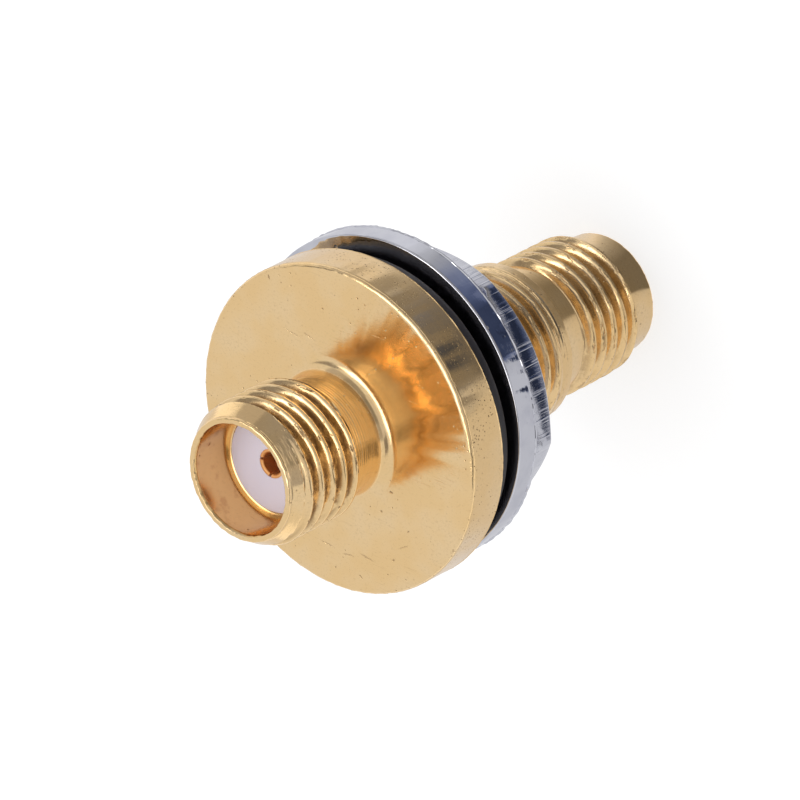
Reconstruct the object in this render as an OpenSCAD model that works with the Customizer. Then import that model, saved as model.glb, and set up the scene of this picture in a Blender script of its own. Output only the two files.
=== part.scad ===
// Panel bulkhead adapter with a screw jack at each end, a round flange,
// a rubber gasket, a loose washer and a hexagon nut. Millimetres, +Z up.
// The long end stands on Z = 0 and the short, flanged end is on top.

/* [Body] */
// Overall height from rim to rim
total_len = 23.74; // [20:0.01:28]
// Radius over the crests of both jack threads
jack_r = 3.15; // [3:0.01:3.18]
// Radius of the plain lead-in at both rims
tip_r = 2.69; // [2.6:0.01:2.75]
// Distance between neighbouring thread crests
pitch = 0.7056; // [0.6:0.0001:0.8]
// Width of the flat on top of a crest
crest_flat = 0.12; // [0.06:0.01:0.2]
// Depth of the thread below its crests
thread_depth = 0.43; // [0.3:0.01:0.46]
// Radius over the first, unfinished crest of a jack thread
start_crest_r = 2.93; // [2.8:0.01:3.1]
// Height of the first crest of the lower jack
far_crest_z = 1.68; // [1.2:0.01:2]
// Length of the upper jack from the flange to its rim
near_len = 6.13; // [5.8:0.01:6.5]
// Distance from the flange to the lowest crest of the upper jack
neck_len = 2.27; // [2:0.01:2.5]
// Number of crests on each jack
jack_crests = 5; // [3:1:6]
// Radius of the turned neck between flange and upper thread
neck_r = 2.62; // [2.5:0.01:2.8]
// Radius of the rounding where the neck meets the flange
neck_fillet = 0.58; // [0.3:0.01:0.9]
// Radius of the relief between the two lower threads
relief_r = 2.87; // [2.7:0.01:3]
// Distance from the lower jack's highest crest to the relief
relief_gap = 0.55; // [0.4:0.01:0.8]
// Length of the relief
relief_len = 1.0; // [0.8:0.01:1.2]
// Edge break at the rims
rim_break = 0.06; // [0.02:0.01:0.1]

/* [Mounting thread] */
// Radius over the crests of the mounting thread
mount_r = 3.53; // [3.4:0.01:3.7]
// Height of the cone between the relief and the mounting thread
mount_cone = 0.51; // [0.3:0.01:0.8]
// Length of the plain land where the mounting thread starts
mount_land = 0.65; // [0.3:0.01:0.9]
// Edge break at the start of that land
mount_break = 0.03; // [0.02:0.01:0.1]
// Radius of the relief that carries the gasket
seat_r = 3.05; // [2.9:0.01:3.1]
// Length of that relief below the gasket
seat_run = 0.15; // [0.1:0.01:0.4]

/* [Flange] */
// Radius of the flange
flange_r = 7.2; // [7:0.01:7.5]
// Thickness of the flange
flange_t = 1.94; // [1.6:0.01:2.2]
// Bevel at the flange's upper edge
flange_bevel = 0.15; // [0.05:0.01:0.3]
// Bevel at the flange's lower edge
flange_back_bevel = 0.05; // [0.02:0.01:0.15]

/* [Sockets] */
// Radius of the counterbore in each jack
socket_r = 2.36; // [2.3:0.01:2.4]
// Depth of the counterbore
socket_depth = 2.03; // [1.9:0.01:2.1]
// Radius of the insulators and of the bore through the body
insulator_r = 2.14; // [2:0.01:2.2]
// Outer radius of the centre contact
contact_r = 0.635; // [0.6:0.005:0.66]
// Radius of the pin socket in each end of the contact
pin_socket_r = 0.48; // [0.46:0.005:0.5]
// Depth of the pin socket
pin_socket_depth = 3.0; // [2.8:0.1:3.5]
// Width of the slots between the contact's spring fingers
slot_w = 0.12; // [0.08:0.01:0.2]
// Length of those slots
slot_len = 2.3; // [1.8:0.1:2.6]
// Turn of the slots about the axis
slot_turn = 85; // [0:1:89]
// Radius of the collar that holds the contact
collar_r = 1.0; // [0.8:0.01:1.2]
// Length of that collar
collar_len = 1.2; // [0.8:0.1:2]

/* [Gasket] */
// How far the gasket's rim sits inside the flange's
gasket_inset = 0.45; // [0.1:0.01:1]
// Thickness of the gasket
gasket_t = 1.0; // [0.6:0.01:1.2]
// Rounding of the gasket's outer edges
gasket_round = 0.25; // [0.1:0.01:0.45]

/* [Washer] */
// How far the washer's rim sits inside the flange's
washer_inset = 0.02; // [-0.2:0.01:0.4]
// Thickness of the washer
washer_t = 1.07; // [0.9:0.01:1.2]
// Clearance between the washer's hole and the thread, all round
washer_gap = 0.28; // [0.25:0.01:0.35]
// How far the loose washer sits off the axis
washer_shift = 0.237; // [0:0.001:0.25]
// Direction of that shift
washer_shift_turn = 130; // [0:1:359]
// Edge break of the washer
washer_break = 0.07; // [0.03:0.01:0.15]
// Room between the gasket and the washer as the nut stands
panel_gap = 0.26; // [0.02:0.01:4]

/* [Nut] */
// How far the nut's flats sit inside the washer's rim
nut_inset = 1.18; // [0.9:0.01:1.6]
// Height of the nut
nut_h = 2.13; // [2:0.01:2.5]
// How much the drawn bar's corners are blunted
nut_blunt = 0.05; // [0.02:0.01:0.2]
// How far the upper face ends inside the flats
nut_top_inset = 0.2; // [0:0.01:0.5]
// Angle of the upper bevel from the face
nut_top_bevel = 30; // [20:1:45]
// How far the lower face ends inside the flats
nut_low_inset = 0.07; // [0:0.01:0.5]
// Angle of the lower bevel from the face
nut_low_bevel = 45; // [20:1:50]
// Running clearance between the nut and the mounting thread's crests
nut_gap = 0.05; // [0.02:0.01:0.1]
// Bevel at the mouths of the nut's bore
nut_mouth = 0.25; // [0.1:0.01:0.4]

/* [Hidden] */
$fn = 96;
thread_root_r = jack_r - thread_depth;
mount_root_r = mount_r - thread_depth;
half_crest = crest_flat / 2;
flank = thread_depth * tan(30);
flange_top = total_len - near_len;
flange_z = flange_top - flange_t;
near_crest_z = flange_top + neck_len;
relief_z = far_crest_z + (jack_crests - 1) * pitch + relief_gap;
mount_z = relief_z + relief_len + mount_cone;
mount_crest_z = mount_z + mount_land;
gasket_z = flange_z - gasket_t;
seat_z = gasket_z - seat_run;
mount_crests = floor((seat_z - mount_crest_z - half_crest - flank) / pitch) + 1;
middle_z = total_len / 2;
gasket_r = flange_r - gasket_inset;
washer_r = flange_r - washer_inset;
washer_z = gasket_z - panel_gap - washer_t;
flat_r = washer_r - nut_inset;
nut_corner_r = flat_r / cos(30) - nut_blunt;
nut_top_face_r = flat_r - nut_top_inset;
nut_low_face_r = flat_r - nut_low_inset;
nut_z = washer_z - nut_h;
nut_bore_r = mount_r + nut_gap;
gold = [0.86, 0.68, 0.38];
nickel = [0.78, 0.78, 0.82];

// One ridge of a thread as a run of profile points, from low to high.
function ridge(z, top_r, root_r) = let (run = (top_r - root_r) * tan(30))
    [[root_r, z - half_crest - run], [top_r, z - half_crest],
     [top_r, z + half_crest], [root_r, z + half_crest + run]];

// Every ridge of one thread, one after the other.
function ridges(z, count, top_r, root_r) = [for (i = [0:count - 1]) each ridge(z + i * pitch, top_r, root_r)];

function lower_jack_points() = concat(
    [[0.1, 0], [tip_r - rim_break, 0], [tip_r, rim_break],
     [tip_r, far_crest_z - half_crest - (start_crest_r - tip_r) * tan(30)],
     [start_crest_r, far_crest_z - half_crest], [start_crest_r, far_crest_z + half_crest],
     [thread_root_r, far_crest_z + half_crest + (start_crest_r - thread_root_r) * tan(30)]],
    ridges(far_crest_z + pitch, jack_crests - 1, jack_r, thread_root_r),
    [[relief_r, relief_z], [relief_r, relief_z + relief_len]]);

function mount_points() = concat(
    [[mount_r - mount_break, mount_z], [mount_r, mount_z + mount_break],
     [mount_r, mount_crest_z + half_crest], [mount_root_r, mount_crest_z + half_crest + flank]],
    ridges(mount_crest_z + pitch, mount_crests - 1, mount_r, mount_root_r),
    [[mount_root_r, seat_z], [seat_r, seat_z], [seat_r, flange_z]]);

function flange_points() = [
    [flange_r - flange_back_bevel, flange_z], [flange_r, flange_z + flange_back_bevel],
    [flange_r, flange_top - flange_bevel], [flange_r - flange_bevel, flange_top],
    [neck_r, flange_top]];

function upper_jack_points() = let (start_z = near_crest_z + (jack_crests - 1) * pitch) concat(
    [[neck_r, near_crest_z - half_crest - (jack_r - neck_r) * tan(30)],
     [jack_r, near_crest_z - half_crest], [jack_r, near_crest_z + half_crest],
     [thread_root_r, near_crest_z + half_crest + flank]],
    ridges(near_crest_z + pitch, jack_crests - 2, jack_r, thread_root_r),
    [[thread_root_r, start_z - half_crest - (start_crest_r - thread_root_r) * tan(30)],
     [start_crest_r, start_z - half_crest], [start_crest_r, start_z + half_crest],
     [tip_r, start_z + half_crest + (start_crest_r - tip_r) * tan(30)],
     [tip_r, total_len - rim_break], [tip_r - rim_break, total_len], [0.1, total_len]]);

// Inside corner of radius r between a wall at x = 0 and a floor at y = 0.
module inside_corner(r) {
    difference() {
        translate([-0.05, -0.05]) square(r + 0.05);
        translate([r, r]) circle(r);
    }
}

module body() {
    color(gold) rotate_extrude() difference() {
        union() {
            polygon(concat(lower_jack_points(), mount_points(), flange_points(), upper_jack_points()));
            translate([neck_r, flange_top]) inside_corner(neck_fillet);
        }
        translate([-1, -1]) square([insulator_r + 1, total_len + 2]);
        for (z = [-1, total_len - socket_depth]) translate([-1, z]) square([socket_r + 1, socket_depth + 1]);
        for (end = [[0, 1], [total_len, -1]]) polygon([
            [0, end[0] - end[1]], [socket_r + rim_break + 1, end[0] - end[1]],
            [socket_r, end[0] + end[1] * rim_break], [0, end[0] + end[1] * rim_break]]);
    }
}

// Half of the insulator, from its outer face to the middle of the body.
module insulator(outer_z, inward) {
    face = outer_z + inward * socket_depth;
    low = min(face, middle_z);
    collar_low = inward > 0 ? middle_z - collar_len / 2 : middle_z;
    color([0.93, 0.92, 0.94]) rotate_extrude() difference() {
        translate([contact_r, low]) square([insulator_r - contact_r, abs(middle_z - face)]);
        translate([0, collar_low]) square([collar_r, collar_len / 2]);
    }
}

module dielectric_near() insulator(total_len, -1);

module dielectric_far() insulator(0, 1);

module centre_contact() {
    length = total_len - 2 * socket_depth;
    color(gold) difference() {
        union() {
            translate([0, 0, socket_depth]) cylinder(r = contact_r, h = length);
            translate([0, 0, middle_z - collar_len / 2]) cylinder(r = collar_r, h = collar_len);
        }
        for (z = [socket_depth - 1, total_len - socket_depth - pin_socket_depth])
            translate([0, 0, z]) cylinder(r = pin_socket_r, h = pin_socket_depth + 1);
        for (z = [socket_depth - 1, total_len - socket_depth - slot_len], a = [0, 90])
            rotate([0, 0, a + slot_turn]) translate([-slot_w / 2, -1, z]) cube([slot_w, 2, slot_len + 1]);
    }
}

module gasket() {
    g = gasket_round;
    color([0.06, 0.055, 0.06]) rotate_extrude() translate([0, gasket_z]) {
        translate([seat_r, 0]) square([gasket_r - g - seat_r, gasket_t]);
        translate([seat_r, g]) square([gasket_r - seat_r, gasket_t - 2 * g]);
        for (z = [g, gasket_t - g]) translate([gasket_r - g, z]) circle(g);
    }
}

module washer() {
    b = washer_break;
    hole_r = mount_r + washer_gap;
    color(nickel) rotate([0, 0, washer_shift_turn]) translate([washer_shift, 0, washer_z]) rotate_extrude() polygon([
        [hole_r + b, 0], [washer_r - b, 0], [washer_r, b], [washer_r, washer_t - b],
        [washer_r - b, washer_t], [hole_r + b, washer_t], [hole_r, washer_t - b], [hole_r, b]]);
}

module nut() {
    low_drop = (nut_corner_r - nut_low_face_r) * tan(nut_low_bevel);
    top_drop = (nut_corner_r - nut_top_face_r) * tan(nut_top_bevel);
    color(nickel) translate([0, 0, nut_z]) intersection() {
        cylinder(r = flat_r / cos(30), h = nut_h, $fn = 6);
        rotate_extrude() polygon([
            [nut_bore_r + nut_mouth, 0], [nut_low_face_r, 0], [nut_corner_r, low_drop],
            [nut_corner_r, nut_h - top_drop], [nut_top_face_r, nut_h], [nut_bore_r + nut_mouth, nut_h],
            [nut_bore_r, nut_h - nut_mouth], [nut_bore_r, nut_mouth]]);
    }
}

body();
dielectric_near();
dielectric_far();
centre_contact();
gasket();
washer();
nut();
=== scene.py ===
import math
import bmesh
import bpy
from mathutils import Matrix, Vector, noise


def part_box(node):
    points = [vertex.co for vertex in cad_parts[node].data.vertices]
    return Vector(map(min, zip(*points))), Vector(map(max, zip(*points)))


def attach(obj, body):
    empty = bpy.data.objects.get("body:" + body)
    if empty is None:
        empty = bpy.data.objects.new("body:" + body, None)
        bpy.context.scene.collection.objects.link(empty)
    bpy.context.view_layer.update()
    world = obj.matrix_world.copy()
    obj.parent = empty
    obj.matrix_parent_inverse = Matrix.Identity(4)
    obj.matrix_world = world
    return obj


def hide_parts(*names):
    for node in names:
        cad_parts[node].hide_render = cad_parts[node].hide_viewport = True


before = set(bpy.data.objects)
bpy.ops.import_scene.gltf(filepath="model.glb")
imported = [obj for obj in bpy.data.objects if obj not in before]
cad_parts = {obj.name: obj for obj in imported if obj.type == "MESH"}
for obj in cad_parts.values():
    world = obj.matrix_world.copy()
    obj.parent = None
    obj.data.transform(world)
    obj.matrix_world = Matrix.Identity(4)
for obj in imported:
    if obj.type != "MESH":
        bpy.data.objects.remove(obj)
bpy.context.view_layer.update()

mm = 0.001
midHeight = 11.87  # half the adapter's length in mm
print("frame loaded:", sorted(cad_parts))


class Wire:
    # A socket that adds its own Math nodes when it is used in an expression.
    def __init__(self, bench, socket):
        self.bench, self.socket = bench, socket

    def join(self, operation, first, second=None):
        inputs = {i: v for i, v in enumerate((first, second)) if v is not None}
        return self.bench.node("ShaderNodeMath", {"operation": operation}, inputs).out()

    def __add__(self, other): return self.join("ADD", self, other)
    def __radd__(self, other): return self.join("ADD", other, self)
    def __sub__(self, other): return self.join("SUBTRACT", self, other)
    def __rsub__(self, other): return self.join("SUBTRACT", other, self)
    def __mul__(self, other): return self.join("MULTIPLY", self, other)
    def __rmul__(self, other): return self.join("MULTIPLY", other, self)
    def __truediv__(self, other): return self.join("DIVIDE", self, other)
    def __pow__(self, other): return self.join("POWER", self, other)
    def __abs__(self): return self.join("ABSOLUTE", self)

    def least(self, other): return self.join("MINIMUM", self, other)
    def most(self, other): return self.join("MAXIMUM", self, other)

    # 0 below low, 1 above high, smooth between.
    def ease(self, low, high):
        return self.bench.node("ShaderNodeMapRange", {"interpolation_type": "SMOOTHSTEP"},
                               {"Value": self, "From Min": low, "From Max": high}).out()


class Placed:
    # One node of a bench, with its outputs by name or number.
    def __init__(self, bench, node):
        self.bench, self.node = bench, node

    def out(self, name=0):
        return Wire(self.bench, self.node.outputs[name])


class Bench:
    # Builds one node tree. Any node comes from node(): its type, its settings, then its sockets.
    def __init__(self, tree):
        self.tree = tree

    def node(self, kind, settings=None, sockets=None):
        made = self.tree.nodes.new(kind)
        for key, value in (settings or {}).items():
            if key == "stops":
                self.setStops(made.color_ramp, value)
            else:
                setattr(made, key, value)
        for key, value in (sockets or {}).items():
            if isinstance(value, Placed):
                value = value.out()
            if isinstance(value, Wire):
                self.tree.links.new(value.socket, made.inputs[key])
            else:
                made.inputs[key].default_value = value
        return Placed(self, made)

    def setStops(self, ramp, stops):
        while len(ramp.elements) < len(stops):
            ramp.elements.new(0.5)
        for element, (place, colour) in zip(ramp.elements, stops):
            element.position = place
            element.color = tuple(colour) + (1,)

    def mix(self, factor, first, second):
        made = self.node("ShaderNodeMix", {"data_type": "RGBA"}, {0: factor, 6: first, 7: second})
        return made.out(2)

    def noise(self, vector, scale, detail=3.0, rough=0.5):
        sockets = {"Vector": vector, "Scale": scale, "Detail": detail, "Roughness": rough}
        return self.node("ShaderNodeTexNoise", {}, sockets).out()

    def cells(self, vector, scale):
        sockets = {"Vector": vector, "Scale": scale, "Randomness": 1.0}
        return self.node("ShaderNodeTexVoronoi", {"feature": "F1"}, sockets).out("Distance")

    # Height is in mm.
    def relief(self, height):
        return self.node("ShaderNodeBump", {}, {"Height": height, "Distance": mm, "Strength": 1.0}).out()


def newMaterial(name):
    material = bpy.data.materials.new(name)
    material.use_nodes = True
    bench = Bench(material.node_tree)
    shader = material.node_tree.nodes["Principled BSDF"]
    place = bench.node("ShaderNodeTexCoord").out("Object")
    # coordinates in millimetres, so that every scale below reads as copies per millimetre
    place = bench.node("ShaderNodeVectorMath", {"operation": "SCALE"}, {0: place, "Scale": 1000.0}).out()
    axes = bench.node("ShaderNodeSeparateXYZ", {}, {0: place})
    return material, bench, shader, place, [axes.out(i) for i in range(3)]


def plug(bench, shader, **sockets):
    for name, value in sockets.items():
        name = name.replace("_", " ")
        if isinstance(value, Wire):
            bench.tree.links.new(value.socket, shader.inputs[name])
        else:
            shader.inputs[name].default_value = value


# Fine marks that a lathe leaves: rings along the axis on round sides, rings by radius on faces. Gives the radius too.
def latheMarks(bench, axes, perMm):
    x, y, z = axes
    radius = (x * x + y * y) ** 0.5
    along = bench.node("ShaderNodeCombineXYZ", {}, {0: radius * perMm, 1: z * perMm, 2: 0.0}).out()
    return bench.noise(along, 1.0, 2.0, 0.6), radius


# Dents in the flange face, darkened in colour: x, y, half length, half width, turn in degrees.
faceHeight = 17.61
longDent = 0.2  # half length from which a dent is a shallow scrape
faceDents = [
    (3.0, -1.75, 0.10, 0.05, 20), (2.55, -2.8, 0.07, 0.05, 0), (4.0, -3.2, 0.09, 0.04, 50),
    (3.3, -4.8, 0.08, 0.05, 10), (1.65, -6.2, 0.12, 0.05, -20), (-3.95, 5.6, 0.13, 0.06, 100),
    (-1.1, 5.2, 0.06, 0.04, 0), (0.4, 5.05, 0.05, 0.04, 0), (0.75, 6.3, 0.05, 0.04, 0),
    (3.8, -4.0, 0.30, 0.035, 35), (1.9, -5.2, 0.45, 0.05, -8), (0.9, -5.45, 0.30, 0.045, 12),
    (-0.2, -5.35, 0.38, 0.04, -4), (-1.4, -5.3, 0.22, 0.035, 10), (-2.6, 3.55, 0.55, 0.03, -8),
    (-1.7, 3.7, 0.35, 0.03, -14),
]
# Colours are linear, depths in mm and scales in copies per mm. Neck and foot are the heights in mm between which the
# tool marks are deep, specks is the share of pits, and sweep below 1 draws the marks out round the axis.
goldLook = {
    "warm": (0.94, 0.650, 0.320, 1), "pale": (0.96, 0.700, 0.390, 1), "brown": (0.17, 0.085, 0.035, 1),
    # the bore colour is a darker gold, painted inside the counterbores as the shade of the recess
    "bore": (0.87, 0.555, 0.235, 1), "stain": (0.40, 0.13, 0.05, 1),
    "roughness": 0.12, "roughSpread": 0.06, "peel": 0.0023, "peelScale": 1.25, "sweep": 1.0,
    # the last value on the next line is the strength of the painted shade in the thread grooves and on the crest
    # nicks
    "rings": 0.0012, "ringScale": 9.0, "pits": 0.010, "specks": 1.0, "grain": 0.0009, "grooveShade": 0.0,
    "neck": (17.95, 19.6), "foot": (4.9, 7.25),
}


def goldMaterial(name, look):
    material, bench, shader, place, axes = newMaterial(name)
    x, y, z = axes
    slow = bench.noise(place, 0.45, 3.0, 0.55)
    # marks can be drawn out round the axis
    swept = bench.node("ShaderNodeCombineXYZ", {}, {0: x * look["sweep"], 1: y * look["sweep"], 2: z}).out()
    peel = bench.noise(swept, look["peelScale"], 3.0, 0.5)
    fine = bench.noise(place, 8.0, 4.0, 0.65)
    rings, radius = latheMarks(bench, axes, look["ringScale"])
    (neckLow, neckHigh), (footLow, footHigh) = look["neck"], look["foot"]
    neck = z.ease(neckLow, neckLow + 0.15) * (1 - z.ease(neckHigh - 0.1, neckHigh)) * (1 - radius.ease(2.9, 3.2))
    foot = z.ease(footLow, footLow + 0.1) * (1 - z.ease(footHigh - 0.2, footHigh))
    ringDepth = look["rings"] * (0.6 + neck * 4.5 + foot * 2.5)
    # small pits, thinly spread and gathered in patches, most of them on the flange
    cells = bench.cells(place, 3.1)
    patch = bench.noise(place, 0.55, 2.0, 0.5).ease(0.50, 0.62)
    pits = (1 - cells.ease(0.06, 0.15)) * patch * look["specks"]
    rim = radius.ease(7.02, 7.12)
    rimPatch = bench.noise(place, 0.7, 2.0, 0.5).ease(0.44, 0.58)
    pits = pits.most((1 - bench.cells(place, 6.5).ease(0.10, 0.25)) * rim * rimPatch)
    # dents in the face
    shift = bench.node("ShaderNodeCombineXYZ", {}, {0: (peel - 0.5) * 0.25, 1: (fine - 0.5) * 0.2})
    bent = bench.node("ShaderNodeVectorMath", {"operation": "ADD"}, {0: place, 1: shift})
    for dentX, dentY, half, width, turn in faceDents:
        local = bench.node("ShaderNodeMapping", {"vector_type": "TEXTURE"}, {
            "Vector": bent, "Location": (dentX, dentY, faceHeight),
            "Rotation": (0, 0, math.radians(turn)), "Scale": (half, width, 0.2)})
        away = bench.node("ShaderNodeVectorMath", {"operation": "LENGTH"}, {0: local}).out("Value")
        pits = pits.most((1 - away.ease(0.4, 1.2)) * (0.85 if half < longDent else 0.5))
    # hairline scratches
    drawnOut = bench.node("ShaderNodeMapping", {}, {
        "Vector": place, "Rotation": (0.5, 0.9, 0.6), "Scale": (0.6, 14.0, 14.0)}).out()
    hairs = bench.noise(drawnOut, 1.0, 2.0, 0.7).ease(0.61, 0.70) * bench.noise(place, 0.8, 1.0).ease(0.46, 0.60)
    colour = bench.mix(slow.ease(0.35, 0.7), look["warm"], look["pale"])
    # darker, deeper gold inside both counterbores, painted as the shade of the recess, with faint red stains
    bore = (1 - radius.ease(2.40, 2.44)) * abs(z - midHeight).ease(9.9, 10.0)
    colour = bench.mix(bore, colour, look["bore"])
    stains = bench.noise(place, 1.3, 3.0, 0.6).ease(0.54, 0.70) * 0.32
    colour = bench.mix(bore * stains, colour, look["stain"])
    colour = bench.mix(fine.ease(0.52, 0.8) * 0.18, colour, look["brown"])
    colour = bench.mix(slow.ease(0.5, 0.62) * fine.ease(0.35, 0.7) * 0.05 + hairs * 0.12, colour, look["brown"])
    colour = bench.mix(pits * 0.7, colour, look["brown"])
    pitsAndGrooveShade = pits
    if look["grooveShade"]:
        # painted shade low in the grooves, in patches, and thin nicks on the crests, cut into the bump and darkened
        # with painted shade
        barrel = z.ease(6.4, 6.5) * (1 - z.ease(14.6, 14.7))
        rise = radius - 0.38 * barrel  # the barrel's thread is that much larger than the jacks'
        low = (1 - rise.ease(2.86, 3.14)) * (1 - abs(z - 12.15).ease(10.7, 10.8))
        crestNicksAndShade = bench.noise(swept, 6.5, 3.0, 0.7).ease(0.56, 0.65) * rise.ease(3.0, 3.1)
        pitsAndGrooveShade = (low * bench.noise(swept, 5.0, 3.0, 0.6).ease(0.38, 0.60)).most(crestNicksAndShade)
        # the painted groove shade is stronger higher up, on the near jack
        pitsAndGrooveShade = pitsAndGrooveShade * (0.4 + 0.6 * z.ease(16, 18))
        colour = bench.mix(pitsAndGrooveShade * look["grooveShade"], colour, look["brown"])
        peel = peel - crestNicksAndShade * 1.6 - pitsAndGrooveShade * 0.7
    rough = look["roughness"] + look["roughSpread"] * fine.ease(0.3, 0.7) + slow * 0.04
    rough = rough + hairs * 0.1 + pits * 0.3 + pitsAndGrooveShade * look["grooveShade"] * 0.3
    height = peel * look["peel"] + rings * ringDepth - pits * look["pits"]
    height = height - hairs * 0.0012 + fine * look["grain"]
    bump = bench.relief(height)
    plug(bench, shader, Base_Color=colour, Metallic=1.0, Roughness=rough, Normal=bump)
    return material


nickelLook = {
    "plain": (0.70, 0.70, 0.745, 1), "dull": (0.60, 0.60, 0.66, 1), "dark": (0.30, 0.31, 0.36, 1),
    "roughness": 0.02, "streaks": 0.0095, "cuts": 0.014,
}


def nickelMaterial(name, look, drawn):
    material, bench, shader, place, axes = newMaterial(name)
    x, y, z = axes
    slow = bench.noise(place, 0.6, 3.0, 0.55)
    fine = bench.noise(place, 7.0, 4.0, 0.65)
    if drawn:
        # marks drawn along the axis: a fine grain with a few deeper cuts
        across = bench.node("ShaderNodeCombineXYZ", {}, {0: x * 9.0, 1: y * 9.0, 2: z * 0.6}).out()
        grain = bench.noise(across, 1.0, 5.0, 0.75)
        wide = bench.node("ShaderNodeCombineXYZ", {}, {0: x * 2.6, 1: y * 2.6, 2: z * 0.08}).out()
        cuts = bench.noise(wide, 1.0, 4.0, 0.65).ease(0.55, 0.63)
        height = grain * look["streaks"] + cuts * look["cuts"] + slow * 0.004 + fine * 0.0010
    else:
        rings = latheMarks(bench, axes, 7.0)[0]
        height = rings * 0.0012 + slow * 0.010 + fine * 0.0008
    dents = (1 - bench.cells(place, 1.6).ease(0.05, 0.17)) * slow.ease(0.46, 0.58)
    height = height - dents * 0.006
    colour = bench.mix(slow.ease(0.4, 0.7), look["plain"], look["dull"])
    colour = bench.mix(fine.ease(0.6, 0.8) * 0.25, colour, look["dark"])
    rough = look["roughness"] + 0.05 * fine.ease(0.35, 0.75) + dents * 0.15
    bump = bench.relief(height)
    plug(bench, shader, Base_Color=colour, Metallic=1.0, Roughness=rough, Normal=bump)
    return material


def insulatorMaterial(name):
    material, bench, shader, place, axes = newMaterial(name)
    slow = bench.noise(place, 0.8, 2.0, 0.5)
    rings = latheMarks(bench, axes, 10.0)[0]
    colour = bench.mix(slow, (0.70, 0.655, 0.765, 1), (0.74, 0.69, 0.79, 1))
    bump = bench.relief(rings * 0.0012 + slow * 0.002)
    plug(bench, shader, Base_Color=colour, Roughness=0.42 + 0.1 * rings, Normal=bump)
    shader.inputs["Subsurface Weight"].default_value = 0.15
    shader.inputs["Subsurface Radius"].default_value = (0.6, 0.55, 0.5)
    shader.inputs["Subsurface Scale"].default_value = mm
    return material


def rubberMaterial(name):
    material, bench, shader, place, axes = newMaterial(name)
    fine = bench.noise(place, 7.0, 4.0, 0.6)
    slow = bench.noise(place, 0.7, 2.0, 0.5)
    colour = bench.mix(slow, (0.012, 0.010, 0.012, 1), (0.022, 0.018, 0.020, 1))
    bump = bench.relief(fine * 0.004 + slow * 0.01)
    plug(bench, shader, Base_Color=colour, Roughness=0.34 + 0.2 * fine, Normal=bump)
    return material


# the threads have finer marks drawn out round the axis, and painted shade in the grooves and on the crest nicks; the
# contact is duller and redder
threadLook = dict(goldLook, roughness=0.08, peel=0.0075, peelScale=5.0, sweep=0.22, rings=0.0004,
                  specks=0.6, grooveShade=0.85)
contactLook = dict(goldLook, roughness=0.5, peel=0.001, rings=0.0003, specks=0.2,
                   warm=(0.92, 0.50, 0.20, 1), pale=(0.94, 0.56, 0.25, 1), bore=(0.95, 0.50, 0.20, 1))
gold = goldMaterial("platedGold", goldLook)
threadGold = goldMaterial("threadGold", threadLook)
contactGold = goldMaterial("contactGold", contactLook)
nutNickel = nickelMaterial("drawnNickel", nickelLook, True)
washerNickel = nickelMaterial("turnedNickel", nickelLook, False)
insulatorWhite = insulatorMaterial("whiteInsulator")
blackRubber = rubberMaterial("blackRubber")
print("materials made")


# Points of an outline: (radius, height, rounding, unevenness). Each corner is rounded by its own radius,
# and the points of an uneven corner wander by that much as they go round. A guard point beside each rounding
# keeps a broad face flat in the shading.
def softened(corners, steps=5, guard=0.04):
    points = []
    count = len(corners)
    for i, corner in enumerate(corners):
        here = Vector(corner[:2])
        uneven = corner[3] if len(corner) > 3 else 0.0
        if len(corner) < 3 or corner[2] == 0:
            points.append((here.x, here.y, uneven))
            continue
        back = Vector(corners[i - 1][:2]) - here
        ahead = Vector(corners[(i + 1) % count][:2]) - here
        angle = back.angle(ahead)
        # two rounded neighbours share the edge between them
        sides = (corners[i - 1], corners[(i + 1) % count])
        backShare, aheadShare = (0.49 if len(side) > 2 and side[2] else 0.98 for side in sides)
        reach = min(corner[2] / math.tan(angle / 2), back.length * backShare, ahead.length * aheadShare)
        radius = reach * math.tan(angle / 2)
        centre = here + (back.normalized() + ahead.normalized()).normalized() * radius / math.sin(angle / 2)
        first = here + back.normalized() * reach - centre
        turn = first.angle_signed(here + ahead.normalized() * reach - centre)
        if back.length > 4 * (reach + guard):
            points.append((*(here + back.normalized() * (reach + guard)), uneven * 0.3))
        for k in range(steps + 1):
            a = -turn * k / steps
            points.append((centre.x + first.x * math.cos(a) - first.y * math.sin(a),
                           centre.y + first.x * math.sin(a) + first.y * math.cos(a), uneven))
        if ahead.length > 4 * (reach + guard):
            points.append((*(here + ahead.normalized() * (reach + guard)), uneven * 0.3))
    return points


def toObject(name, work, material):
    bmesh.ops.recalc_face_normals(work, faces=work.faces)
    mesh = bpy.data.meshes.new(name)
    work.to_mesh(mesh)
    work.free()
    made = bpy.data.objects.new(name, mesh)
    bpy.context.scene.collection.objects.link(made)
    mesh.materials.append(material)
    mesh.shade_smooth()
    mesh.set_sharp_from_angle(angle=math.radians(35))
    return made


# Turns a closed outline about the vertical through centre.
def turned(outline, steps, centre=(0, 0)):
    work = bmesh.new()
    rings = []
    for i in range(steps):
        a = 2 * math.pi * i / steps
        ring = []
        for radius, height, uneven in outline:
            if uneven:
                spot = Vector((math.cos(a), math.sin(a), 0)) * radius * 3.5
                radius += uneven * (noise.noise(spot + Vector((0, 0, height * 3))) + 0.5 * noise.noise(spot * 2.7))
                height += uneven * noise.noise(spot * 1.3 + Vector((7, 3, height * 3)))
            x, y = centre[0] + radius * math.cos(a), centre[1] + radius * math.sin(a)
            ring.append(work.verts.new((x * mm, y * mm, height * mm)))
        rings.append(ring)
    count = len(outline)
    for i in range(steps):
        here, ahead = rings[i], rings[(i + 1) % steps]
        for k in range(count):
            n = (k + 1) % count
            work.faces.new((here[k], ahead[k], ahead[n], here[n]))
    return work


def finishPiece(piece, body):
    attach(piece, body)
    return piece


def applyModifiers(piece):
    evaluated = piece.evaluated_get(bpy.context.evaluated_depsgraph_get())
    mesh = bpy.data.meshes.new_from_object(evaluated)
    piece.modifiers.clear()
    piece.data = mesh


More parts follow.
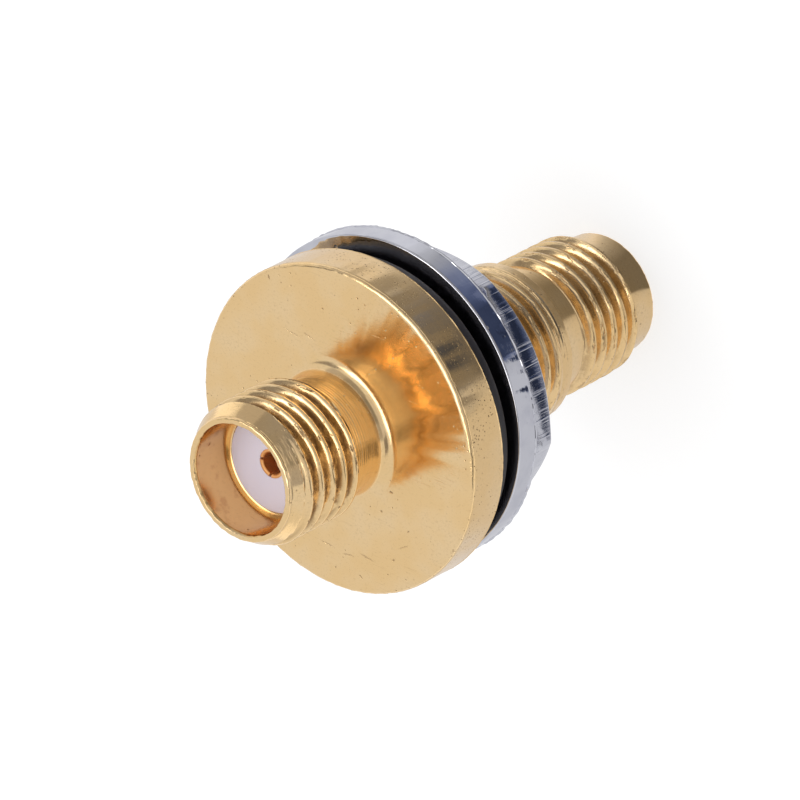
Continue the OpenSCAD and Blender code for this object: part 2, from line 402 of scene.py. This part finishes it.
# Radii and heights in mm. Low and high are the far jack's side and the near jack's side.
bodySizes = {
    "height": 23.74, "rim": 2.69, "rimBreak": 0.10, "socket": 2.36, "mouth": 2.45, "socketDepth": 2.03,
    "bore": 2.14, "core": 2.56, "lowTipEnd": 1.40, "relief": 2.87, "reliefLow": 5.05, "reliefHigh": 6.05,
    "barrel": 3.53, "landLow": 6.56, "landHigh": 6.86, "barrelCore": 2.95, "barrelEnd": 14.45,
    "seat": 3.05, "flange": 7.2, "flangeLow": 15.67, "flangeHigh": 17.61, "edge": 0.20, "bead": 0.016, "lip": 0.12,
    "neck": 2.62, "neckFillet": 0.58, "neckEnd": 19.56, "highTipStart": 23.54, "rippleStep": 0.131, "ripple": 0.020,
}


# Turning marks on the neck, as cut: each groove has its own depth.
def neckRipples(s):
    first, last = s["flangeHigh"] + s["neckFillet"] + 0.08, s["neckEnd"] - 0.04
    count = int((last - first) / s["rippleStep"] * 4)
    points = []
    for i in range(count):
        height = first + (last - first) * i / (count - 1)
        depth = s["ripple"] * (0.6 + 0.4 * math.sin(height * 5.3) * math.sin(height * 11.9))
        wave = 0.5 - 0.5 * math.cos(2 * math.pi * (height - first) / s["rippleStep"])
        points.append((s["neck"] - depth * wave, height, 0, 0.004))
    return points


def bodyOutline(s):
    top, bead = s["height"], s["bead"]
    return softened([
        (s["rim"], 0, s["rimBreak"], 0.012), (s["rim"], s["lowTipEnd"]), (s["core"], s["lowTipEnd"]),
        (s["core"], s["reliefLow"]), (s["relief"], s["reliefLow"]), (s["relief"], s["reliefHigh"], 0.2),
        (s["barrel"], s["landLow"], 0.06, 0.01), (s["barrel"], s["landHigh"]), (s["barrelCore"], s["landHigh"]),
        (s["barrelCore"], s["barrelEnd"]), (s["seat"], s["barrelEnd"]), (s["seat"], s["flangeLow"]),
        (s["flange"] - bead, s["flangeLow"], 0.03), (s["flange"] + bead, s["flangeLow"] + bead * 2, bead, 0.012),
        (s["flange"] - 0.002, s["flangeLow"] + bead * 5, 0.01),
        (s["flange"], s["flangeHigh"], s["edge"], 0.020),
        (s["neck"], s["flangeHigh"], s["neckFillet"])] + neckRipples(s) + [
        (s["neck"], s["neckEnd"]), (s["core"], s["neckEnd"]), (s["core"], s["highTipStart"]),
        (s["rim"], s["highTipStart"]), (s["rim"], top, s["rimBreak"], 0.020), (s["mouth"], top, 0.03, 0.024),
        (s["socket"] + 0.01, top - 0.12, 0.1), (s["socket"], top - s["socketDepth"]),
        (s["bore"], top - s["socketDepth"], s["lip"]),
        (s["bore"], s["socketDepth"], 0.03), (s["socket"], s["socketDepth"]), (s["socket"] + 0.01, 0.5, 0.1),
        (s["mouth"], 0, 0.04, 0.012)], 4)


body = toObject("turnedBody", turned(bodyOutline(bodySizes), 300), gold)
finishPiece(body, "shell")
print("body turned", len(body.data.polygons))


# Inputs of the thread tree: kind, names.
threadInputs = {
    "NodeSocketInt": ["Along", "Across"],
    "NodeSocketFloat": ["Turns", "Pitch", "Root", "Depth", "Crest", "Valley", "Start", "Phase", "High Z", "High R",
                        "High Slope", "Low Z", "Low R", "Low Slope", "Run Start", "Run End", "Fade Start",
                        "Fade End", "Top", "Wobble", "Burr", "Wall"],
    "NodeSocketMaterial": ["Finish"],
}
deepestTrim = 0.00013  # in metres: how far the cones may cut below the root


# A strip one pitch wide is wound up the axis, so that each turn meets the next, then trimmed by a cone at either
# end. Its section is closed: the rows past the profile go back along the inside.
def threadTree():
    tree = bpy.data.node_groups.new("woundThread", "GeometryNodeTree")
    tree.is_modifier = True
    names = []
    for kind, group in threadInputs.items():
        for name in group:
            tree.interface.new_socket(name, in_out="INPUT", socket_type=kind)
            names.append(name)
    tree.interface.new_socket("Geometry", in_out="OUTPUT", socket_type="NodeSocketGeometry")
    bench = Bench(tree)
    given = bench.node("NodeGroupInput")
    value = {name: given.out(name) for name in names}
    rows = value["Across"] + 4
    grid = bench.node("GeometryNodeMeshGrid", {}, {
        "Size X": 1.0, "Size Y": 1.0, "Vertices X": value["Along"], "Vertices Y": rows})
    spot = bench.node("ShaderNodeSeparateXYZ", {}, {0: bench.node("GeometryNodeInputPosition").out()})
    row = (spot.out(1) + 0.5) * (rows - 1)
    past = row.join("GREATER_THAN", row, value["Across"] + 0.5)
    back = row.join("GREATER_THAN", row, value["Across"] + 1.5)
    again = row.join("GREATER_THAN", row, value["Across"] + 2.5)
    across = (row / value["Across"] - 0.5).least(0.5) * (1 - back) - back * 0.5
    turns = (spot.out(0) + 0.5) * value["Turns"]
    height = value["Start"] + value["Pitch"] * (turns + across)
    angle = turns * (2 * math.pi) + value["Phase"]
    flank = {}
    for shape in ("SMOOTHSTEP", "LINEAR"):
        flank[shape] = bench.node("ShaderNodeMapRange", {"interpolation_type": shape}, {
            "Value": abs(across), "From Min": value["Crest"], "From Max": 0.5 - value["Valley"],
            "To Min": 0.0, "To Max": 1.0}).out()
    # the groove runs out gently at the low end, and comes in gently at the high end
    runOut = height.ease(value["Run Start"], value["Run End"])
    runOut = runOut * (1 - height.ease(value["Fade Start"], value["Fade End"]))
    cut = (flank["SMOOTHSTEP"] * 0.6 + flank["LINEAR"] * 0.4) * runOut
    cos = angle.join("COSINE", angle)
    sin = angle.join("SINE", angle)
    high = value["High R"] + (value["High Z"] - height) * value["High Slope"]
    low = value["Low R"] + (height - value["Low Z"]) * value["Low Slope"]
    rootX, rootY = cos * value["Root"], sin * value["Root"]
    around = bench.node("ShaderNodeCombineXYZ", {}, {0: rootX, 1: rootY, 2: height}).out()
    uneven = bench.noise(around, 1500.0, 2.0) - 0.5
    # thin burrs stand up along the edges of the crest, here and there
    burr = (1 - abs(abs(across) - value["Crest"] - 0.03) / 0.05).most(0.0)
    burr = burr * bench.noise(around, 2400.0, 3.0, 0.7).ease(0.47, 0.66)
    radius = value["Root"] + value["Depth"] * (1 - cut) + burr * value["Burr"]
    radius = radius.least(high).least(low) + uneven * value["Wobble"] * (0.4 + cut)
    radius = radius.most(value["Root"] - deepestTrim)
    inside = past - again
    radius = radius * (1 - inside) + (value["Root"] - value["Wall"]) * inside
    # what would stand over the rim is pressed down nearly level, so that no faces fall together
    pressed = height - (height - value["Top"]).most(0.0) * 0.95
    place = bench.node("ShaderNodeCombineXYZ", {}, {0: cos * radius, 1: sin * radius, 2: pressed}).out()
    moved = bench.node("GeometryNodeSetPosition", {}, {"Geometry": grid, "Position": place})
    welded = bench.node("GeometryNodeMergeByDistance", {}, {"Geometry": moved, "Distance": 0.0000005})
    whole = bench.node("GeometryNodeRealizeInstances", {}, {"Geometry": welded})
    dressed = bench.node("GeometryNodeSetMaterial", {}, {"Geometry": whole, "Material": value["Finish"]})
    bench.node("NodeGroupOutput", {}, {0: dressed})
    return tree


thread = threadTree()
# start is where the strip begins, along and across are its divisions, high and low are (height, radius, slope) of
# the cones that trim it, and run and fade are the heights between which the groove runs out and comes in. The
# divisions don't fall level from turn to turn, so that the edges of neighbouring turns don't weld point to point.
never = (98.0, 99.0)
threads = {
    "nearThread": {"turns": 7.1, "root": 2.72, "start": 18.95, "phase": 183, "along": 136, "across": 20,
                   "high": (23.60, 2.69, 0.64), "low": (19.50, 2.62, 1.73), "run": (18.0, 18.1),
                   "fade": (23.0, 23.25)},
    "farThread": {"turns": 6.53, "root": 2.72, "start": 0.95, "phase": -18, "along": 112, "across": 16,
                  "high": (4.95, 2.87, 1.73), "low": (1.30, 2.69, 1.20), "run": (0.1, 0.2), "fade": never},
    "barrelThread": {"turns": 11.3, "root": 3.10, "start": 6.55, "phase": -34, "along": 96, "across": 16,
                     "high": (14.47, 3.1, 1.73), "low": (6.80, 3.53, 4.0), "run": (6.95, 7.75), "fade": never},
}
threadShared = {"pitch": 0.7056, "depth": 0.43, "crest": 0.055, "valley": 0.05, "wobble": 0.018, "burr": 0.022,
                "wall": 0.25, "top": 23.60}


def windThread(name, s, shared):
    mesh = bpy.data.meshes.new(name + "Seed")
    piece = bpy.data.objects.new(name, mesh)
    bpy.context.scene.collection.objects.link(piece)
    winding = piece.modifiers.new("winding", "NODES")
    winding.node_group = thread
    values = {
        "Turns": s["turns"], "Along": int(s["turns"] * s["along"]) + 1, "Across": s["across"],
        "Pitch": shared["pitch"] * mm, "Root": s["root"] * mm, "Depth": shared["depth"] * mm,
        "Crest": shared["crest"], "Valley": shared["valley"], "Start": s["start"] * mm,
        "Phase": math.radians(s["phase"]),
        "High Z": s["high"][0] * mm, "High R": s["high"][1] * mm, "High Slope": s["high"][2],
        "Low Z": s["low"][0] * mm, "Low R": s["low"][1] * mm, "Low Slope": s["low"][2],
        "Run Start": s["run"][0] * mm, "Run End": s["run"][1] * mm,
        "Fade Start": s["fade"][0] * mm, "Fade End": s["fade"][1] * mm, "Top": shared["top"] * mm,
        "Wobble": shared["wobble"] * mm, "Burr": shared["burr"] * mm, "Wall": shared["wall"] * mm,
        "Finish": threadGold,
    }
    for item in thread.interface.items_tree:
        if item.in_out == "INPUT":
            winding[item.identifier] = values[item.name]
    applyModifiers(piece)
    work = bmesh.new()
    work.from_mesh(piece.data)
    bmesh.ops.holes_fill(work, edges=[edge for edge in work.edges if edge.is_boundary], sides=0)
    bmesh.ops.recalc_face_normals(work, faces=work.faces)
    if work.calc_volume(signed=True) < 0:
        bmesh.ops.reverse_faces(work, faces=work.faces)
    openEdges = sum(1 for edge in work.edges if not edge.is_manifold)
    print(name, "open edges", openEdges, "faces", len(work.faces))
    work.to_mesh(piece.data)
    work.free()
    piece.data.shade_smooth()
    piece.data.set_sharp_from_angle(angle=math.radians(45))
    finishPiece(piece, "shell")


for name, sizes in threads.items():
    windThread(name, sizes, threadShared)
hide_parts("body")
print("threads wound")


contactSizes = {"radius": 0.635, "hole": 0.48, "depth": 3.0, "low": 2.03, "high": 21.71, "collar": 1.0,
                "collarLength": 1.2, "slot": 0.12, "slotLength": 2.3, "turn": 85}


def makeContact(s):
    middle = (s["low"] + s["high"]) / 2
    half = s["collarLength"] / 2
    outline = softened([
        (0, s["low"] + s["depth"]), (s["hole"], s["low"] + s["depth"]), (s["hole"], s["low"] + 0.05, 0.03),
        (s["hole"] + 0.05, s["low"], 0.02), (s["radius"], s["low"], 0.03), (s["radius"], middle - half),
        (s["collar"], middle - half), (s["collar"], middle + half), (s["radius"], middle + half),
        (s["radius"], s["high"], 0.03), (s["hole"] + 0.05, s["high"], 0.02), (s["hole"], s["high"] - 0.05, 0.03),
        (s["hole"], s["high"] - s["depth"]), (0, s["high"] - s["depth"])], 4)
    work = turned(outline, 72)
    bmesh.ops.remove_doubles(work, verts=work.verts, dist=1e-8)
    piece = toObject("centreContact", work, contactGold)
    # spring slots, cut across both ends
    for end in (s["low"], s["high"]):
        for turn in (0, 90):
            cutter = bmesh.new()
            bmesh.ops.create_cube(cutter, size=1.0, matrix=Matrix.Translation((0, 0, end * mm))
                                  @ Matrix.Rotation(math.radians(s["turn"] + turn), 4, "Z")
                                  @ Matrix.Diagonal((s["slot"] * mm, 2 * mm, 2 * s["slotLength"] * mm, 1)))
            tool = toObject("slotCutter", cutter, contactGold)
            cut = piece.modifiers.new("slot", "BOOLEAN")
            cut.operation, cut.solver, cut.object = "DIFFERENCE", "EXACT", tool
            applyModifiers(piece)
            bpy.data.objects.remove(tool)
    piece.data.shade_smooth()
    piece.data.set_sharp_from_angle(angle=math.radians(30))
    finishPiece(piece, "shell")
    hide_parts("centre_contact")


makeContact(contactSizes)


gasketLow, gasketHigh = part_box("gasket")
# the low face stays a hair above the solid's, so that the washer only touches it at the end of its slide
gasketSizes = {"hole": 3.05, "rim": gasketHigh.x / mm, "low": gasketLow.z / mm + 0.02, "high": gasketHigh.z / mm,
               "round": 0.25}


def makeGasket(s):
    outline = softened([(s["hole"], s["low"], 0.03), (s["rim"], s["low"], s["round"]),
                        (s["rim"], s["high"], s["round"]), (s["hole"], s["high"], 0.03)], 6)
    piece = toObject("rubberGasket", turned(outline, 192), blackRubber)
    finishPiece(piece, "shell")
    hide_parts("gasket")


makeGasket(gasketSizes)

washerLow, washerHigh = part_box("washer")
washerSizes = {"hole": 3.81, "edge": 0.08, "burr": 0.04}


def makeWasher(s):
    centre = ((washerLow.x + washerHigh.x) / 2 / mm, (washerLow.y + washerHigh.y) / 2 / mm)
    rim = (washerHigh.x - washerLow.x) / 2 / mm
    low, high, e, burr = washerLow.z / mm, washerHigh.z / mm, s["edge"], s["burr"]
    # stamped: rounded on one side, with a small burr left on the other
    outline = softened([
        (s["hole"], low, e), (rim + burr, low, burr, 0.035), (rim + burr, low + burr * 1.6, burr, 0.035),
        (rim - 0.002, low + burr * 2.4, 0.01, 0.01), (rim, high, e, 0.006), (s["hole"], high, e)], 6)
    piece = toObject("flatWasher", turned(outline, 400, centre), washerNickel)
    finishPiece(piece, "washer")
    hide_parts("washer")


makeWasher(washerSizes)

nutLow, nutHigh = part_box("nut")
nutSizes = {"flats": 12.0, "bore": 3.58, "mouth": 0.25, "topInset": 0.2, "topBevel": 30, "lowInset": 0.07,
            "lowBevel": 45, "blunt": 0.05, "edge": 0.035}


def makeNut(s):
    flat = s["flats"] / 2
    low, high = nutLow.z / mm, nutHigh.z / mm
    point = flat / math.cos(math.pi / 6)
    corner = point - s["blunt"]
    lowFace, topFace = flat - s["lowInset"], flat - s["topInset"]
    lowDrop = (corner - lowFace) * math.tan(math.radians(s["lowBevel"]))
    topDrop = (corner - topFace) * math.tan(math.radians(s["topBevel"]))
    outline = softened([
        (s["bore"] + s["mouth"], low), (lowFace, low), (corner, low + lowDrop), (corner, high - topDrop),
        (topFace, high), (s["bore"] + s["mouth"], high), (s["bore"], high - s["mouth"]),
        (s["bore"], low + s["mouth"])])
    piece = toObject("hexNut", turned(outline, 240), nutNickel)
    hexagon = bmesh.new()
    middle = Matrix.Translation((0, 0, (low + high) / 2 * mm)) @ Matrix.Rotation(math.radians(90), 4, "Z")
    bmesh.ops.create_cone(hexagon, cap_ends=True, segments=6, radius1=point * mm, radius2=point * mm,
                          depth=(high - low + 1) * mm, matrix=middle)
    tool = toObject("hexagonBar", hexagon, nutNickel)
    cut = piece.modifiers.new("hexagon", "BOOLEAN")
    cut.operation, cut.solver, cut.object = "INTERSECT", "EXACT", tool
    applyModifiers(piece)
    bpy.data.objects.remove(tool)
    bevel = piece.modifiers.new("edges", "BEVEL")
    bevel.width, bevel.segments, bevel.use_clamp_overlap = s["edge"] * mm, 2, True
    bevel.limit_method, bevel.angle_limit = "ANGLE", math.radians(28)
    applyModifiers(piece)
    piece.data.shade_smooth()
    piece.data.set_sharp_from_angle(angle=math.radians(24))
    finishPiece(piece, "nut")
    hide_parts("nut")


makeNut(nutSizes)
for node in ("dielectric_near", "dielectric_far"):
    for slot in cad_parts[node].material_slots:
        slot.material = insulatorWhite
print("pieces made")


# target and distance in mm, angles in degrees
view = {"target": (-0.62, -0.63, 12.77), "distance": 331.14, "azimuth": 39.973, "elevation": 44.104,
        "roll": -117.26, "lens": 360}


def placeCamera(s):
    azimuth, elevation, roll = (math.radians(s[k]) for k in ("azimuth", "elevation", "roll"))
    level = math.cos(elevation)
    back = Vector((level * math.cos(azimuth), level * math.sin(azimuth), math.sin(elevation)))
    side = (-back).cross(Vector((0, 0, 1))).normalized()
    rise = side.cross(-back)
    right = side * math.cos(roll) + rise * math.sin(roll)
    up = rise * math.cos(roll) - side * math.sin(roll)
    data = bpy.data.cameras.new("camera")
    data.lens, data.sensor_width, data.clip_start, data.clip_end = s["lens"], 36, 0.01, 20
    camera = bpy.data.objects.new("camera", data)
    bpy.context.scene.collection.objects.link(camera)
    place = (Vector(s["target"]) + back * s["distance"]) * mm
    camera.matrix_world = Matrix.Translation(place) @ Matrix((right, up, back)).transposed().to_4x4()
    bpy.context.scene.camera = camera


placeCamera(view)


# Where the floor shows as white: to the camera, and in metal and glass.
def seenDirectly(bench):
    path = bench.node("ShaderNodeLightPath")
    return path.out("Is Camera Ray").most(path.out("Is Glossy Ray")).most(path.out("Is Transmission Ray"))


def emptyMaterial(name):
    material = bpy.data.materials.new(name)
    material.use_nodes = True
    tree = material.node_tree
    tree.nodes.clear()
    bench = Bench(tree)
    return material, bench


def makeFloor():
    material, bench = emptyMaterial("paleFloor")
    plain = bench.node("ShaderNodeBsdfDiffuse", {}, {"Color": (0.8, 0.8, 0.8, 1)})
    half = bench.node("ShaderNodeBsdfDiffuse", {}, {"Color": (0.45, 0.45, 0.45, 1)})
    glow = bench.node("ShaderNodeEmission", {}, {"Color": (1, 1, 1, 1), "Strength": 0.64})
    white = bench.node("ShaderNodeAddShader", {}, {0: half, 1: glow})
    both = bench.node("ShaderNodeMixShader", {}, {0: seenDirectly(bench), 1: plain, 2: white})
    bench.node("ShaderNodeOutputMaterial", {}, {"Surface": both})
    work = bmesh.new()
    bmesh.ops.create_circle(work, cap_ends=True, segments=96, radius=4.0)
    floor = toObject("floor", work, material)
    if floor.data.polygons[0].normal.z < 0:
        floor.data.flip_normals()


def hideFromAllButMetal(piece):
    piece.visible_camera = piece.visible_diffuse = piece.visible_shadow = piece.visible_transmission = False


# Card round the foot of the adapter, seen only in the metal: compass angle in degrees, brightness.
cardTones = [
    (-180, 0.77), (-125, 0.82), (-100, 0.76), (-70, 0.70), (8, 0.66), (18, 0.58), (21, 0.0), (50, 0.02), (70, 0.16),
    (92, 0.30), (112, 0.50), (131, 0.84), (155, 0.79), (180, 0.77),
]
# How dark its dark side is: distance from the axis in mm, brightness, how far the pattern turns there in degrees,
# and how much narrower the dark side gets.
cardShade = [
    (0, 0.16, -5, 0.55), (4, 0.17, -5, 0.45), (8, 0.19, -14, 0.05), (11, 0.30, -4, 0), (15, 0.03, 13, 0),
    (19.6, 0.04, 12, 0), (20.1, 0.07, -9, 0.33), (22.3, 0.07, -11, 0.33), (23.3, 0.23, -10.5, 0),
    (25.4, 0.23, -10.5, 0), (27, 0.22, 0, -0.12), (34, 0.22, 0, -0.12), (90, 0.22, 0, 0),
]
# A colour ramp only holds 0 to 1, so turns are stored over this range. The dark side is narrowed from pivot on.
turnRange, pivot = 40, 40
coldBand = (11, 14, 22.4, 23.2)  # distances in mm between which the dark side turns cold, and warm again


def makeCard(tones, shade):
    material, bench = emptyMaterial("greyCard")
    place = bench.node("ShaderNodeTexCoord").out("Object")
    axes = bench.node("ShaderNodeSeparateXYZ", {}, {0: place})
    x, y = axes.out(0), axes.out(1)
    reach = (x * x + y * y) ** 0.5 * (1000.0 / shade[-1][0])
    widest = shade[-1][0]
    rows = [(r / widest, (v, t / turnRange + 0.5, n / 2 + 0.5)) for r, v, t, n in shade]
    ramp = bench.node("ShaderNodeValToRGB", {"stops": rows}, {0: reach})
    table = bench.node("ShaderNodeSeparateColor", {}, {0: ramp})
    level, turn, narrow = (table.out(i) for i in range(3))
    angle = y.join("ARCTAN2", y, x) / (2 * math.pi)
    angle = angle + (angle - pivot / 360).most(0.0) * (narrow * 2 - 1) + 0.5 + (turn - 0.5) * turnRange / 360
    stops = [((degrees + 180) / 360, (v, v, v)) for degrees, v in tones]
    bright = bench.node("ShaderNodeValToRGB", {"stops": stops}, {0: angle}).out()
    glow = bright.most(level)
    # the dark side is blue where the nickel sees it, and warm elsewhere
    cold = reach.ease(coldBand[0] / widest, coldBand[1] / widest)
    cold = cold * (1 - reach.ease(coldBand[2] / widest, coldBand[3] / widest))
    dark = bench.mix(cold, (1.04, 0.98, 0.92, 1), (0.66, 0.86, 1.55, 1))
    colour = bench.mix(glow.ease(0.05, 0.5), dark, (0.98, 0.985, 1.02, 1))
    light = bench.node("ShaderNodeEmission", {}, {"Color": colour, "Strength": glow})
    bench.node("ShaderNodeOutputMaterial", {}, {"Surface": light})
    outline = [(2.71, 0.03, 0), (widest, 0.03, 0), (widest, 0.02, 0), (2.71, 0.02, 0)]
    card = toObject("greyCard", turned(outline, 128), material)
    hideFromAllButMetal(card)


# Grey screens at one side, seen only in the metal: compass angles, height angles, brightness.
screens = {
    "sideScreen": (66, 108, 1, 36, 0.34), "wideScreen": (108, 140, 1, 36, 0.50),
    "backScreen": (138, 176, 36, 52, 0.28), "frontScreen": (22, 66, 0, 27, 0.26),
    "edgeScreen": (-6, 22, 0, 27, 0.42),
    "middleScreen": (-6, 66, 27, 52, 0.66), "leftScreen": (-34, -6, 27, 52, 0.24),
}


def makeScreens(settings, distance=260, columns=24):
    for name, (left, right, low, high, brightness) in settings.items():
        material, bench = emptyMaterial(name)
        light = bench.node("ShaderNodeEmission", {}, {"Color": (0.98, 0.98, 1.03, 1), "Strength": brightness})
        bench.node("ShaderNodeOutputMaterial", {}, {"Surface": light})
        work = bmesh.new()
        rows = []
        for i in range(columns + 1):
            a = math.radians(left + (right - left) * i / columns)
            rows.append([work.verts.new((math.cos(a) * distance * mm, math.sin(a) * distance * mm,
                                         math.tan(math.radians(e)) * distance * mm)) for e in (low, high)])
        for here, ahead in zip(rows, rows[1:]):
            work.faces.new((here[0], ahead[0], ahead[1], here[1]))
        screen = toObject(name, work, material)
        hideFromAllButMetal(screen)


# name: place in metres, length, width, turn in degrees, brightness, colour
lamps = {
    "topBox": ((-0.035, 0.095, 0.50), 0.56, 0.24, 144, 1.8, (1.0, 0.995, 0.98)),
}


def makeLamps(settings):
    for name, (place, length, width, turn, brightness, colour) in settings.items():
        data = bpy.data.lights.new(name, "AREA")
        data.shape, data.size, data.size_y = "RECTANGLE", length, width
        data.energy = brightness * 4 * length * width
        data.color = colour
        lamp = bpy.data.objects.new(name, data)
        bpy.context.scene.collection.objects.link(lamp)
        lamp.matrix_world = Matrix.Translation(place) @ Matrix.Rotation(math.radians(turn), 4, "Z")


# The world's white shows to the camera and through glass. Metal and light see a softer grey.
def makeWorld():
    world = bpy.data.worlds.new("studio")
    world.use_nodes = True
    world.node_tree.nodes.clear()
    bench = Bench(world.node_tree)
    path = bench.node("ShaderNodeLightPath")
    seen = path.out("Is Camera Ray").most(path.out("Is Transmission Ray"))
    soft = bench.node("ShaderNodeBackground", {}, {"Color": (0.97, 0.98, 1.0, 1), "Strength": 0.79})
    white = bench.node("ShaderNodeBackground", {}, {"Color": (1, 1, 1, 1), "Strength": 1.0})
    both = bench.node("ShaderNodeMixShader", {}, {0: seen, 1: soft, 2: white})
    bench.node("ShaderNodeOutputWorld", {}, {"Surface": both})
    bpy.context.scene.world = world


makeFloor()
makeCard(cardTones, cardShade)
makeScreens(screens)
makeLamps(lamps)
makeWorld()
bpy.context.scene.view_settings.view_transform = "Standard"
print("stage set")
